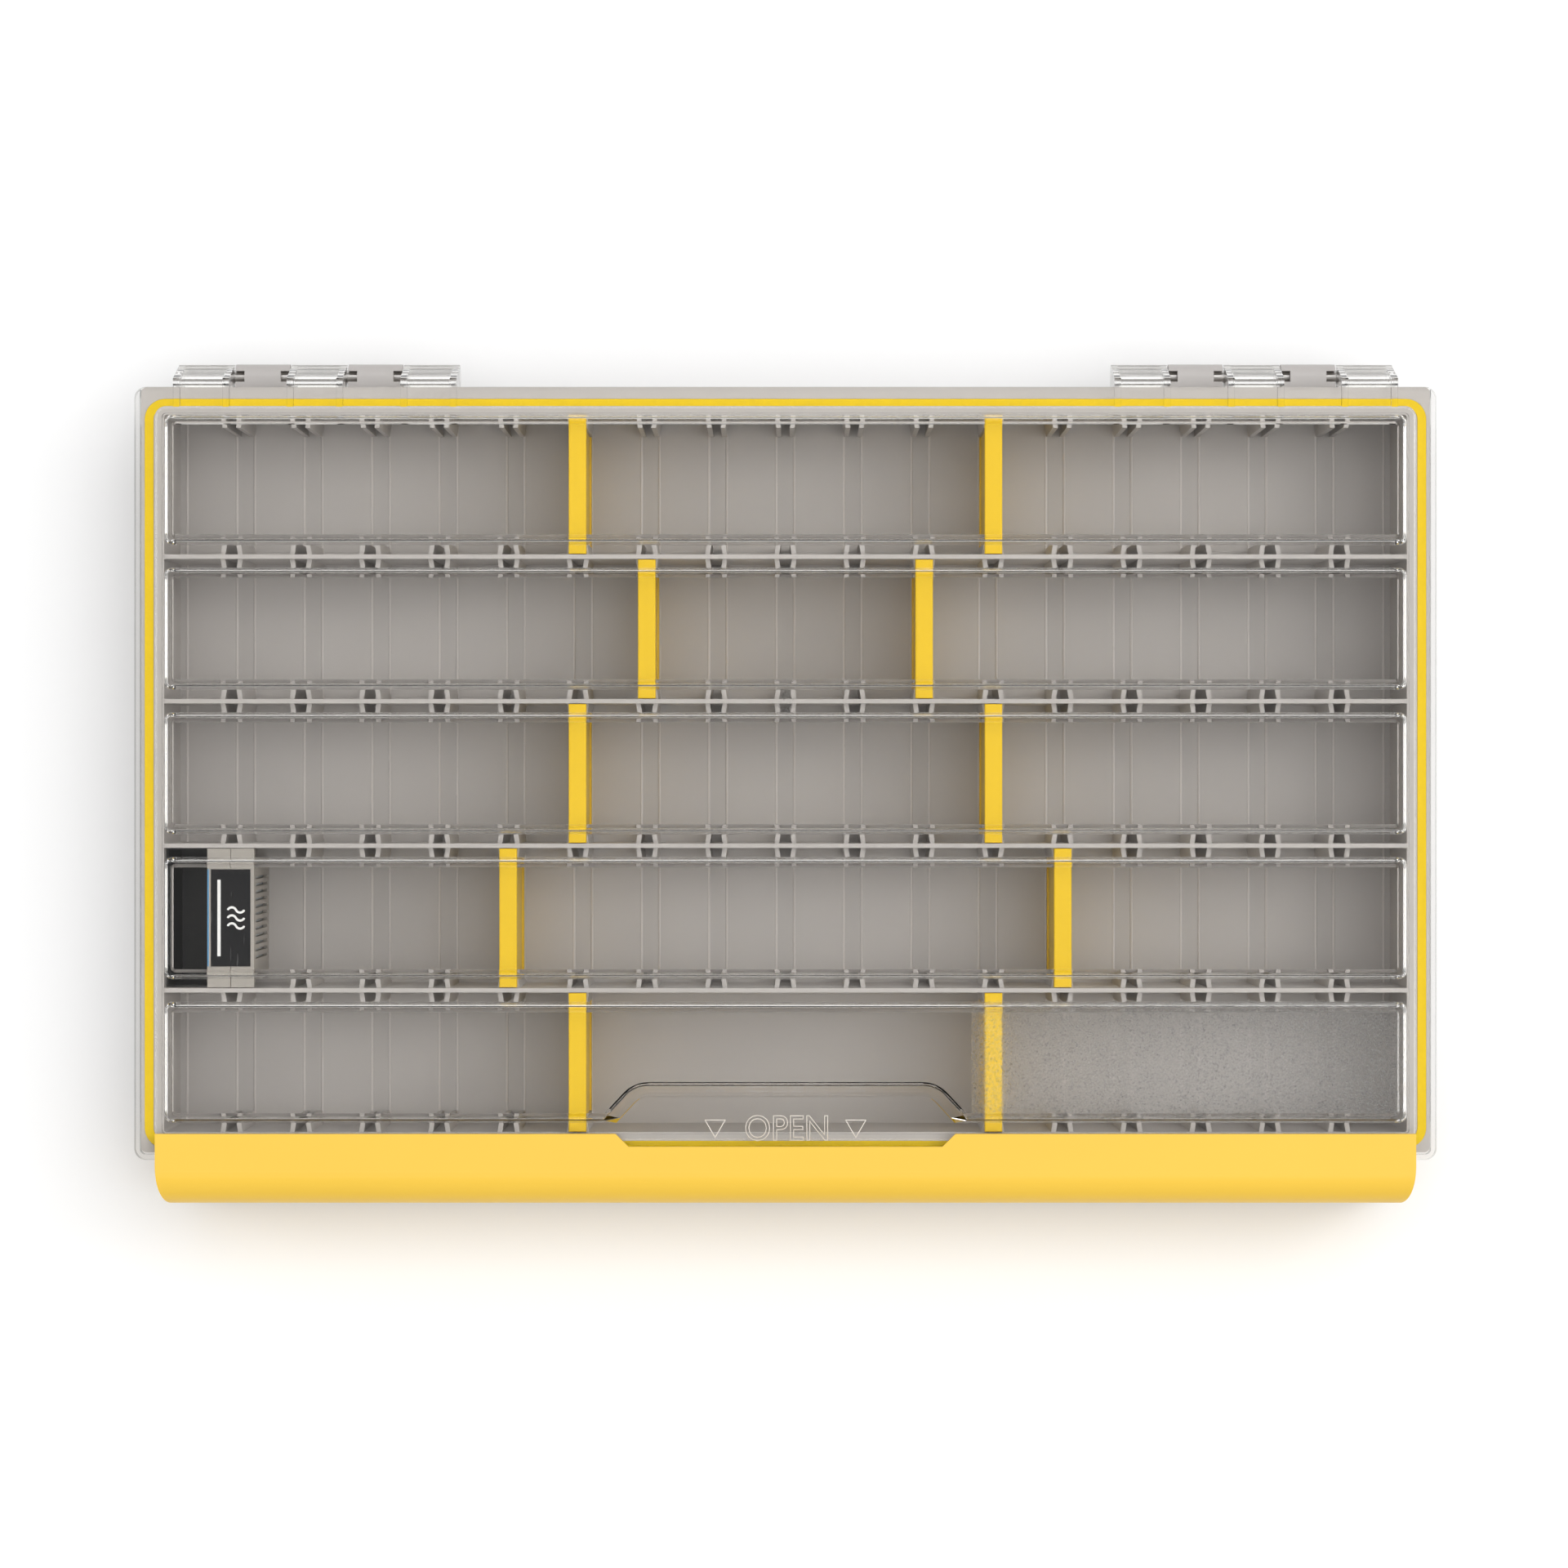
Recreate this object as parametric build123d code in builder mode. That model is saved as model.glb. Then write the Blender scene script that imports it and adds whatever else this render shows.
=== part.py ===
from build123d import *
import math
import os

# A flat tackle box: a divided tray, a clear lid hinged at the back, a latch along the
# whole front, a seal in the rim, loose dividers and a drying divider.
# X runs along the box, -Y is the latch side, +Y is the hinge side and Z is up.
# The origin is the centre of the face that the box rests on. Sizes are in millimetres.

# Grid of rows and divider slots
slot_pitch = 19.05
slot_count = 17
end_cell = 18.5
row_pitch = 39.7
row_count = 5
row_wall = 1.2

# Tray
tray_wall = 2.2
tray_floor = 2.2
tray_corner = 4.0
tray_foot_round = 1.5
pocket_corner = 0.8
rim_top = 42.7
rim_thickness = 3.1
rim_side = 4.1
rim_back = 5.35
rim_front = 3.35
rim_corner = 1.5
row_wall_rise = 1.9
row_wall_end_gap = 0.5
foot_groove_width = 2.0
foot_groove_depth = 0.8

# Rib pairs and floor channels that hold a divider
rib_length = 3.5
rib_thickness = 1.3
rib_gap = 3.5
rib_lean = 0.55
rib_drop = 0.9
floor_channel_width = 5.0
floor_channel_depth = 0.4
bare_slots_front_row = range(6, 11)

# Seal
seal_side = 1.9
seal_end = 0.95
seal_corner = 4.4
seal_groove_width = 2.5
seal_groove_depth = 1.8
seal_slack = 0.05
seal_gap = 0.15

# Lid
lid_wall = 1.8
lid_rest_gap = 0.3
skirt_thickness = 1.4
skirt_side_gap = 0.3
skirt_front_gap = 0.6
skirt_depth = 3.6
deck_rise = 2.0
deck_gap = 0.4
deck_corner = 3.0
window_rise = 4.0
window_draft = 1.0
window_corner = 2.0
window_round = 0.7
window_end_inset = 1.5
window_back_inset = 1.25
window_front_inset = 3.75
channel_width = 8.2
bead_width = 2.2
bead_height = 1.2

# Finger scoop in the front window of the lid
scoop_half_width = 39.8
scoop_depth = 12.1
scoop_flare = 11.2
scoop_slope = 3.3
scoop_corner = 5.0
mark_half_width = 2.95
mark_height = 5.2
mark_line = 0.5
mark_depth = 0.3
mark_centre_x = 19.3
mark_from_edge = 4.85

# Hinge
hinge_reach = 9.15
hinge_height = 30.0
hinge_pin_radius = 1.5
hinge_running_gap = 0.06
pin_seat_gap = 0.02
hinge_radius = 3.5
lid_knuckle_step = 0.1
lid_knuckle_width = 15.4
knuckle_gap = 0.4
knuckle_pitch = 31.2
hinge_first_knuckle = 98.0
lid_knuckles_per_group = 3
ear_thickness = 1.8
ear_clearance = 0.5
ear_drop = 0.2
pin_window_length = 2.5
pin_window_width = 3.0
pin_end_gap = 0.3
pin_chamfer = 0.3

# Latch
latch_wall = 2.2
latch_end_wall = 2.6
latch_inset = 0.3
latch_lid_gap = 0.2
latch_overlap = 2.05
latch_front_reach = 17.45
latch_roll = 9.0
latch_bottom = 6.0
latch_corner_x = 3.8
latch_corner_y = 11.0
latch_end_gap = 0.5
latch_notch_half = 43.0
latch_notch_flare = 3.6
latch_notch_depth = 3.5
latch_pivot_reach = 10.15
latch_pivot_height = 12.0
latch_pin_radius = 1.25
latch_knuckle_radius = 3.2
latch_knuckle_width = 6.0
latch_lug_width = 10.0
latch_group_spacing = 120.0

# Dividers
divider_width = 4.85
divider_web = 3.85
divider_foot = 3.0
divider_end_gap = 0.15
divider_rib_gap = 0.15
divider_body_gap = 0.2
divider_cap_drop = 0.05
divider_round = 0.4
divider_seat = 0.05

# Drying divider
drier_row = 3
drier_slot = 0
drier_width = 12.9
drier_round = 0.2
drier_wall = 1.2
drier_parting = 0.1
drier_fill_gap = 0.3
drier_label_length = 26.8
drier_label_width = 11.0
drier_label_depth = 0.3
drier_side_label_length = 28.0
drier_side_label_height = 34.0
label_slack = 0.1
side_label_thickness = 0.2
vent_width = 0.8
vent_pitch = 2.0
vent_count = 12
vent_margin = 5.0

# A small extra depth where one body is buried in another, or a cut passes a face
overlap = 0.5

# Places that follow from the sizes above
cavity_x = (slot_count - 1) / 2 * slot_pitch + end_cell
cavity_y = (row_count * row_pitch - row_wall) / 2
cell_width = row_pitch - row_wall
tray_x = cavity_x + tray_wall
tray_y = cavity_y + tray_wall
rim_x = tray_x + rim_side
rim_back_y = tray_y + rim_back
rim_front_y = -tray_y - rim_front
rib_top = rim_top - rib_drop
row_wall_top = rim_top + row_wall_rise
channel_floor = tray_floor - floor_channel_depth
row_centres = [row_pitch * ((row_count - 1) / 2 - row) for row in range(row_count)]
wall_centres = [row_pitch * (row_count / 2 - wall) for wall in range(1, row_count)]
slot_centres = [slot_pitch * (slot - (slot_count - 1) / 2) for slot in range(slot_count)]

seal_x = tray_x + seal_side
seal_y = tray_y + seal_end

lid_bottom = rim_top + lid_rest_gap
lid_x = rim_x + skirt_side_gap + skirt_thickness
lid_front_y = rim_front_y - skirt_front_gap - skirt_thickness
lid_back_y = rim_back_y
deck_under = lid_bottom + deck_rise
deck_top = deck_under + lid_wall
window_under = deck_under + window_rise
deck_x = cavity_x + deck_gap + lid_wall
deck_y = cavity_y + deck_gap + lid_wall
window_x = cavity_x - window_end_inset

hinge_y = tray_y + hinge_reach
hinge_group_knuckles = [
    hinge_first_knuckle + knuckle_pitch * index for index in range(lid_knuckles_per_group)
]
tray_knuckle_width = knuckle_pitch - lid_knuckle_width - 2 * knuckle_gap
tray_knuckles = [
    side * (x + knuckle_pitch / 2) for x in hinge_group_knuckles[:-1] for side in (-1, 1)
]
lid_knuckle_radius = hinge_radius - lid_knuckle_step
lid_bore = hinge_pin_radius + hinge_running_gap
ear_inner_y = rim_back_y + ear_clearance

latch_y = -tray_y - latch_pivot_reach
latch_x = tray_x - latch_inset
latch_under = deck_top + latch_lid_gap
latch_top = latch_under + latch_wall
latch_front_y = -tray_y - latch_front_reach
latch_rear_y = -tray_y + latch_overlap
latch_group_centres = [-latch_group_spacing, 0, latch_group_spacing]
latch_knuckle_offset = (latch_lug_width + latch_knuckle_width) / 2 + knuckle_gap

divider_cap_top = row_wall_top - divider_cap_drop
divider_cap_bottom = rib_top + divider_rib_gap
divider_body = cell_width - 2 * (rib_length + divider_body_gap)
divider_cap_length = cell_width - 2 * divider_end_gap


def rib_outline(side, inward):
    """Corners of a rib that grows inward from a wall face at y = 0 and leans to the slot."""
    root = side * rib_gap / 2
    back = side * (rib_gap / 2 + rib_thickness)
    lean = side * rib_lean
    behind = -inward * overlap
    tip = inward * rib_length
    return [(root, behind), (back, behind), (back, 0), (back - lean, tip), (root - lean, tip), (root, 0)]


def slot_places(row):
    """X of each slot of a row that has ribs and a floor channel."""
    return [
        slot_x
        for slot, slot_x in enumerate(slot_centres)
        if row < row_count - 1 or slot not in bare_slots_front_row
    ]


def draw_ribs(row, inward, mode):
    """Draw the rib pairs on a row's front face (inward 1) or back face (-1) in a sketch."""
    face_y = row_centres[row] - inward * cell_width / 2
    for side in (-1, 1):
        with Locations(*[(x, face_y) for x in slot_places(row)]):
            Polygon(rib_outline(side, inward), mode=mode)


def channel_outline():
    """Corners of a floor channel about the slot's centre, its ends narrowed by the ribs."""
    mouth = rib_gap / 2 - rib_lean
    wide = floor_channel_width / 2
    tips = cell_width / 2 - rib_length
    quarter = [(wide, tips), (mouth, tips), (rib_gap / 2, cell_width / 2)]
    upper_left = [(-x, y) for x, y in reversed(quarter)]
    lower_left = [(-x, -y) for x, y in quarter]
    return quarter + upper_left + lower_left + [(x, -y) for x, y in reversed(quarter)]


def seal_loop(width):
    """Draw the rounded loop of the seal, so wide, in the current sketch."""
    grow = width / 2
    RectangleRounded(2 * (seal_x + grow), 2 * (seal_y + grow), seal_corner + grow)
    RectangleRounded(
        2 * (seal_x - grow), 2 * (seal_y - grow), seal_corner - grow, mode=Mode.SUBTRACT
    )


def knuckle(pivot_y, pivot_z, radius, bore, wall_y):
    """Draw a bored knuckle on a YZ plane, with the web that joins it to a wall at wall_y."""
    with Locations((pivot_y, pivot_z)):
        Circle(radius)
    with Locations(((pivot_y + wall_y) / 2, pivot_z)):
        Rectangle(abs(pivot_y - wall_y), 2 * radius)
    with Locations((pivot_y, pivot_z)):
        Circle(bore, mode=Mode.SUBTRACT)


# The tray's outer moulding: ribs, floor channels, rim, hinge knuckles and latch lugs
with BuildPart() as moulding:
    with BuildSketch():
        RectangleRounded(2 * tray_x, 2 * tray_y, tray_corner)
    extrude(amount=rim_top)
    fillet(moulding.edges().group_by(Axis.Z)[0], tray_foot_round)
    with BuildSketch(Plane.XY.offset(rim_top - rim_thickness)):
        with Locations((0, (rim_back_y + rim_front_y) / 2)):
            RectangleRounded(2 * rim_x, rim_back_y - rim_front_y, rim_corner)
    extrude(amount=rim_thickness)

    with BuildSketch(Plane.XY.offset(rim_top - seal_groove_depth)):
        seal_loop(seal_groove_width)
    extrude(amount=seal_groove_depth, mode=Mode.SUBTRACT)
    with BuildSketch():
        with Locations(*[(0, y) for y in wall_centres]):
            SlotOverall(2 * cavity_x, foot_groove_width)
    extrude(amount=foot_groove_depth, mode=Mode.SUBTRACT)

    for x in tray_knuckles:
        with BuildSketch(Plane.YZ.offset(x - tray_knuckle_width / 2)):
            knuckle(hinge_y, hinge_height, hinge_radius, hinge_pin_radius + pin_seat_gap,
                    tray_y - overlap)
        extrude(amount=tray_knuckle_width)
    with BuildSketch(Plane.XY.offset(hinge_height)):
        with Locations(*[
            (x + side * (tray_knuckle_width - pin_window_length) / 2, hinge_y)
            for x in tray_knuckles for side in (-1, 1)
        ]):
            Rectangle(pin_window_length, pin_window_width)
    extrude(amount=hinge_radius + overlap, mode=Mode.SUBTRACT)
    for x in latch_group_centres:
        with BuildSketch(Plane.YZ.offset(x - latch_lug_width / 2)):
            knuckle(latch_y, latch_pivot_height, latch_knuckle_radius,
                    latch_pin_radius + pin_seat_gap, -tray_y + overlap)
        extrude(amount=latch_lug_width)

    with BuildSketch(Plane.XY.offset(rib_top)):
        RectangleRounded(2 * cavity_x, 2 * cavity_y, pocket_corner)
    extrude(amount=rim_top - rib_top, mode=Mode.SUBTRACT)
    with BuildSketch(Plane.XY.offset(tray_floor)):
        RectangleRounded(2 * cavity_x, 2 * cavity_y, pocket_corner)
        draw_ribs(0, -1, Mode.SUBTRACT)
        draw_ribs(row_count - 1, 1, Mode.SUBTRACT)
    extrude(amount=rib_top - tray_floor, mode=Mode.SUBTRACT)
    with BuildSketch(Plane.XY.offset(channel_floor)):
        with Locations(*[
            (x, y) for row, y in enumerate(row_centres) for x in slot_places(row)
        ]):
            Polygon(channel_outline())
    extrude(amount=floor_channel_depth, mode=Mode.SUBTRACT)


def moulding_piece(label, x_range, y_range, z_range):
    """The part of the tray's moulding inside a box, as a piece of its own."""
    low_z, high_z = z_range
    middle = (sum(x_range) / 2, sum(y_range) / 2)
    with BuildPart() as piece:
        add(moulding.part)
        with BuildSketch(Plane.XY.offset(low_z)):
            with Locations(middle):
                Rectangle(x_range[1] - x_range[0], y_range[1] - y_range[0])
        extrude(amount=high_z - low_z, mode=Mode.INTERSECT)
    piece.part.label = label
    return piece.part


# The moulding as five pieces that meet face to face, each simple enough for open collision
far_x = rim_x + overlap
far_y = hinge_y + hinge_radius + overlap
wall_z = (tray_floor, rim_top)
tray_pieces = [
    moulding_piece("tray_floor", (-far_x, far_x), (-tray_y, tray_y), (0, tray_floor)),
    moulding_piece("tray_end_left", (-far_x, -cavity_x), (-far_y, far_y), wall_z),
    moulding_piece("tray_end_right", (cavity_x, far_x), (-far_y, far_y), wall_z),
    moulding_piece("tray_back", (-cavity_x, cavity_x), (0, far_y), wall_z),
    moulding_piece("tray_front", (-cavity_x, cavity_x), (-far_y, 0), wall_z),
]


def row_wall_piece(row):
    """The tray's wall in front of a row, with rib pairs on both faces and a raised top."""
    with BuildPart() as piece:
        with BuildSketch(Plane.XY.offset(tray_floor)):
            with Locations((0, wall_centres[row])):
                Rectangle(2 * cavity_x, row_wall)
            draw_ribs(row, 1, Mode.ADD)
            draw_ribs(row + 1, -1, Mode.ADD)
        extrude(amount=rib_top - tray_floor)
        with BuildSketch(Plane.XY.offset(rib_top)):
            with Locations((0, wall_centres[row])):
                Rectangle(2 * cavity_x, row_wall)
        extrude(amount=rim_top - rib_top)
        with BuildSketch(Plane.XY.offset(rim_top)):
            with Locations((0, wall_centres[row])):
                Rectangle(2 * (cavity_x - row_wall_end_gap), row_wall)
        extrude(amount=row_wall_rise)
    return piece.part


# Row walls, counted from the back
row_walls = []
for row in range(row_count - 1):
    row_walls.append(row_wall_piece(row))
    row_walls[-1].label = f"row_wall_{row + 1}"

# Seal loop that lies in the rim's groove
with BuildPart() as gasket:
    with BuildSketch(Plane.XY.offset(rim_top - seal_groove_depth)):
        seal_loop(seal_groove_width - 2 * seal_slack)
    extrude(amount=seal_groove_depth + lid_rest_gap - seal_gap)
gasket.part.label = "gasket"


def window_span(row):
    """Y range of a lid window's top face, front edge first."""
    back = row_centres[row] + (row_pitch - channel_width) / 2
    front = row_centres[row] - (row_pitch - channel_width) / 2
    if row == 0:
        back = cavity_y - window_back_inset
    if row == row_count - 1:
        front = -cavity_y + window_front_inset
    return front, back


def window_block(row, inset, base, corner):
    """A drafted block over one row: the outside of a lid window, or its hollow if inset."""
    front, back = window_span(row)
    grow = window_draft - inset
    with BuildPart() as block:
        with BuildSketch(Plane.XY.offset(base)):
            with Locations((0, (front + back) / 2)):
                RectangleRounded(2 * (window_x + grow), back - front + 2 * grow, corner)
        extrude(amount=window_rise, taper=math.degrees(math.atan(window_draft / window_rise)))
    return block.part


def scoop_block(base, grow):
    """The space of the finger scoop above base, made wider all round by grow."""
    back_y = -deck_y + scoop_depth
    front_y = -deck_y - scoop_depth
    front_half = scoop_half_width + 2 * scoop_flare
    with BuildPart() as block:
        with BuildSketch(Plane.XY.offset(base)) as plan:
            Polygon(
                (-scoop_half_width, back_y),
                (-front_half, front_y),
                (front_half, front_y),
                (scoop_half_width, back_y),
            )
            fillet(plan.vertices().group_by(Axis.Y)[-1], scoop_corner)
            if grow > 0:
                offset(amount=grow, kind=Kind.ARC)
        extrude(amount=window_rise, taper=-math.degrees(math.atan(scoop_slope / window_rise)))
    return block.part


# Outsides and hollows of the lid's windows; the front one goes round the finger scoop
window_blocks = [window_block(row, 0, deck_top, window_corner) for row in range(row_count)]
window_hollows = [
    window_block(row, lid_wall, deck_under, window_corner - window_draft / 2)
    for row in range(row_count)
]
window_blocks[-1] = window_blocks[-1] - scoop_block(deck_top, 0)
window_hollows[-1] = window_hollows[-1] - scoop_block(deck_under, lid_wall / 2)


def mark_outline(inset):
    """Corners of a triangle that points at the latch, its sides moved in by inset."""
    slant = math.hypot(mark_half_width, mark_height)
    inner_radius = mark_half_width * mark_height / (mark_half_width + slant)
    scale = 1 - inset / inner_radius
    half = scale * mark_half_width
    return [
        (-half, scale * inner_radius),
        (half, scale * inner_radius),
        (0, scale * (inner_radius - mark_height)),
    ]


# Lid, with its flange, skirt, raised windows, beads, scoop and hinge ears
with BuildPart() as lid:
    lid_mid_y = (lid_front_y + lid_back_y) / 2
    lid_corner = rim_corner + skirt_side_gap + skirt_thickness
    skirt_bottom = lid_bottom - skirt_depth
    with BuildSketch(Plane.XY.offset(skirt_bottom)):
        with Locations((0, lid_mid_y)):
            RectangleRounded(2 * lid_x, lid_back_y - lid_front_y, lid_corner)
        with Locations((0, lid_front_y + skirt_thickness + lid_back_y)):
            RectangleRounded(
                2 * (lid_x - skirt_thickness), 2 * lid_back_y, rim_corner, mode=Mode.SUBTRACT
            )
    extrude(amount=skirt_depth)
    with BuildSketch(Plane.XY.offset(lid_bottom)):
        with Locations((0, lid_mid_y)):
            RectangleRounded(2 * lid_x, lid_back_y - lid_front_y, lid_corner)
    extrude(amount=lid_wall)
    with BuildSketch(Plane.XY.offset(lid_bottom)):
        RectangleRounded(2 * deck_x, 2 * deck_y, deck_corner)
    extrude(amount=deck_top - lid_bottom)
    fillet(lid.faces().sort_by(Axis.Z)[-1].edges(), window_round)
    with BuildSketch(Plane.XY.offset(lid_bottom)):
        RectangleRounded(2 * (deck_x - lid_wall), 2 * (deck_y - lid_wall), deck_corner - lid_wall)
    extrude(amount=deck_rise, mode=Mode.SUBTRACT)
    for block in window_blocks:
        add(block)
    fillet(lid.faces().filter_by(Axis.Z).group_by(Axis.Z)[-1].edges(), window_round)
    for hollow in window_hollows:
        add(hollow, mode=Mode.SUBTRACT)
    with BuildSketch(Plane.XY.offset(deck_top)):
        with Locations(*[(0, y) for y in wall_centres]):
            SlotOverall(2 * (window_x + window_draft), bead_width)
    extrude(amount=bead_height)

    with BuildSketch(Plane.XY.offset(deck_top - mark_depth)):
        with Locations(*[(side * mark_centre_x, -deck_y + mark_from_edge) for side in (-1, 1)]):
            Polygon(mark_outline(0))
            Polygon(mark_outline(mark_line), mode=Mode.SUBTRACT)
    extrude(amount=mark_depth, mode=Mode.SUBTRACT)

    lid_knuckles = [side * x for x in hinge_group_knuckles for side in (-1, 1)]
    ear_top = deck_top - ear_drop
    ear_back_y = ear_inner_y + lid_wall
    for x in lid_knuckles:
        knuckle_start = x - lid_knuckle_width / 2
        for ear_start in (knuckle_start, knuckle_start + lid_knuckle_width - ear_thickness):
            with BuildSketch(Plane.YZ.offset(ear_start)):
                Polygon(
                    (deck_y - overlap, ear_top),
                    (ear_back_y, ear_top),
                    (hinge_y + lid_knuckle_radius, hinge_height),
                    (hinge_y, hinge_height),
                    (ear_inner_y, hinge_height),
                    (ear_inner_y, lid_bottom),
                    (deck_y - overlap, lid_bottom),
                )
            extrude(amount=ear_thickness)
        with BuildSketch(Plane.YZ.offset(knuckle_start)):
            Polygon(
                (lid_back_y - overlap, lid_bottom),
                (lid_back_y - overlap, lid_bottom + lid_wall),
                (ear_back_y - ear_drop, lid_bottom + lid_wall),
                (hinge_y + lid_knuckle_radius, hinge_height),
                (hinge_y + lid_knuckle_radius - lid_wall, hinge_height),
                (ear_inner_y, lid_bottom),
            )
            with Locations((hinge_y, hinge_height)):
                Circle(lid_knuckle_radius)
        extrude(amount=lid_knuckle_width)
        with BuildSketch(Plane.YZ.offset(knuckle_start)):
            with Locations((hinge_y, hinge_height)):
                Circle(lid_bore)
        extrude(amount=lid_knuckle_width, mode=Mode.SUBTRACT)
lid.part.label = "lid"


def pin(start_x, length, y, z, radius):
    """A straight steel pin along X with chamfered ends."""
    with BuildPart() as piece:
        with BuildSketch(Plane.YZ.offset(start_x)):
            with Locations((y, z)):
                Circle(radius)
        extrude(amount=length)
        chamfer(piece.edges().filter_by(GeomType.CIRCLE), pin_chamfer)
    return piece.part


# Hinge pins, one through each group of knuckles
hinge_pin_start = hinge_first_knuckle - lid_knuckle_width / 2 + pin_end_gap
hinge_pin_end = hinge_group_knuckles[-1] + lid_knuckle_width / 2 - pin_end_gap
hinge_pin_length = hinge_pin_end - hinge_pin_start
hinge_pin_left = pin(-hinge_pin_end, hinge_pin_length, hinge_y, hinge_height, hinge_pin_radius)
hinge_pin_left.label = "hinge_pin_left"
hinge_pin_right = pin(hinge_pin_start, hinge_pin_length, hinge_y, hinge_height, hinge_pin_radius)
hinge_pin_right.label = "hinge_pin_right"

# Latch: a curved shell along the front that hooks over the lid's front edge
with BuildPart() as latch:
    roll_y = latch_front_y + latch_roll
    roll_z = latch_top - latch_roll
    with BuildSketch(Plane.YZ.offset(-latch_x)):
        with BuildLine():
            Line((latch_rear_y, latch_bottom), (latch_rear_y, latch_top))
            Line((latch_rear_y, latch_top), (roll_y, latch_top))
            CenterArc((roll_y, roll_z), latch_roll, 90, 90)
            Line((latch_front_y, roll_z), (latch_front_y, latch_bottom))
            Line((latch_front_y, latch_bottom), (latch_rear_y, latch_bottom))
        make_face()
    extrude(amount=2 * latch_x)
    with BuildSketch():
        with BuildLine():
            corner_x = latch_x - latch_corner_x
            corner_y = latch_front_y + latch_corner_y
            Line((-corner_x, latch_front_y), (corner_x, latch_front_y))
            EllipticalCenterArc((corner_x, corner_y), latch_corner_x, latch_corner_y, 270)
            Line((latch_x, corner_y), (latch_x, latch_rear_y))
            Line((latch_x, latch_rear_y), (-latch_x, latch_rear_y))
            Line((-latch_x, latch_rear_y), (-latch_x, corner_y))
            EllipticalCenterArc((-corner_x, corner_y), latch_corner_x, latch_corner_y, 180)
        make_face()
    extrude(amount=latch_top, mode=Mode.INTERSECT)
    with BuildSketch(Plane.YZ.offset(-latch_x + latch_end_wall)):
        with BuildLine():
            inner_front = latch_front_y + latch_wall
            below = latch_bottom - overlap
            Line((latch_rear_y, below), (latch_rear_y, latch_under))
            Line((latch_rear_y, latch_under), (roll_y, latch_under))
            CenterArc((roll_y, roll_z), latch_roll - latch_wall, 90, 90)
            Line((inner_front, roll_z), (inner_front, below))
            Line((inner_front, below), (latch_rear_y, below))
        make_face()
    extrude(amount=2 * (latch_x - latch_end_wall), mode=Mode.SUBTRACT)
    end_wall_y = lid_front_y - latch_end_gap
    with BuildSketch(Plane.XY.offset(latch_bottom - overlap)):
        with Locations((0, (end_wall_y + latch_rear_y) / 2)):
            Rectangle(2 * latch_x, latch_rear_y - end_wall_y)
    extrude(amount=latch_under - latch_bottom + overlap, mode=Mode.SUBTRACT)
    with BuildSketch(Plane.XY.offset(latch_under)):
        notch_y = latch_rear_y - latch_notch_depth
        Polygon(
            (-latch_notch_half - latch_notch_flare, latch_rear_y),
            (-latch_notch_half, notch_y),
            (latch_notch_half, notch_y),
            (latch_notch_half + latch_notch_flare, latch_rear_y),
        )
    extrude(amount=latch_wall, mode=Mode.SUBTRACT)
    for group_x in latch_group_centres:
        for side in (-1, 1):
            start_x = group_x + side * latch_knuckle_offset - latch_knuckle_width / 2
            with BuildSketch(Plane.YZ.offset(start_x)):
                knuckle(latch_y, latch_pivot_height, latch_knuckle_radius,
                        latch_pin_radius + hinge_running_gap, inner_front - overlap)
            extrude(amount=latch_knuckle_width)
latch.part.label = "latch"

# Latch pins
latch_pin_half = latch_knuckle_offset + latch_knuckle_width / 2 - pin_end_gap
latch_pins = {}
for place, group_x in zip(("left", "middle", "right"), latch_group_centres):
    latch_pins[place] = pin(
        group_x - latch_pin_half, 2 * latch_pin_half, latch_y, latch_pivot_height, latch_pin_radius
    )
    latch_pins[place].label = f"latch_pin_{place}"


def tongue_outline(end):
    """Dovetail tongue of a divider's end, in plan, that slides down between a rib pair."""
    tip = rib_gap / 2 - divider_rib_gap
    root = tip - rib_lean
    inside = end * (divider_body / 2 - overlap)
    outside = end * (cell_width / 2 - divider_end_gap)
    return [(-root, inside), (-tip, outside), (tip, outside), (root, inside)]


def divider(x, y):
    """A loose divider in the slot at x of the row at y."""
    base = channel_floor + divider_seat
    with BuildPart() as piece:
        with BuildSketch(Plane.XY.offset(base)):
            with Locations((x, y)):
                Rectangle(divider_web, divider_body)
                Polygon(tongue_outline(-1))
                Polygon(tongue_outline(1))
        extrude(amount=divider_cap_bottom - base)
        with BuildSketch(Plane.XY.offset(base)):
            with Locations((x, y)):
                Rectangle(divider_width, divider_body)
        extrude(amount=divider_foot)
        with BuildSketch(Plane.XY.offset(divider_cap_bottom)):
            with Locations((x, y)):
                Rectangle(divider_width, divider_cap_length)
        extrude(amount=divider_cap_top - divider_cap_bottom)
        fillet(piece.faces().sort_by(Axis.Z)[-1].edges(), divider_round)
    return piece.part


# Slots that hold a divider, for each row from the back: left one, right one
divider_slots = [(5, 11), (6, 10), (5, 11), (4, 12), (5, 11)]
dividers = {}
for row, slots in enumerate(divider_slots):
    for side, slot in zip(("left", "right"), slots):
        label = f"divider_row{row + 1}_{side}"
        dividers[label] = divider(slot_centres[slot], row_centres[row])
        dividers[label].label = label

# Place and height of the drying divider
drier_x = slot_centres[drier_slot]
drier_y = row_centres[drier_row]
drier_base = tray_floor + divider_seat
drier_height = divider_cap_top - drier_base


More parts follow.
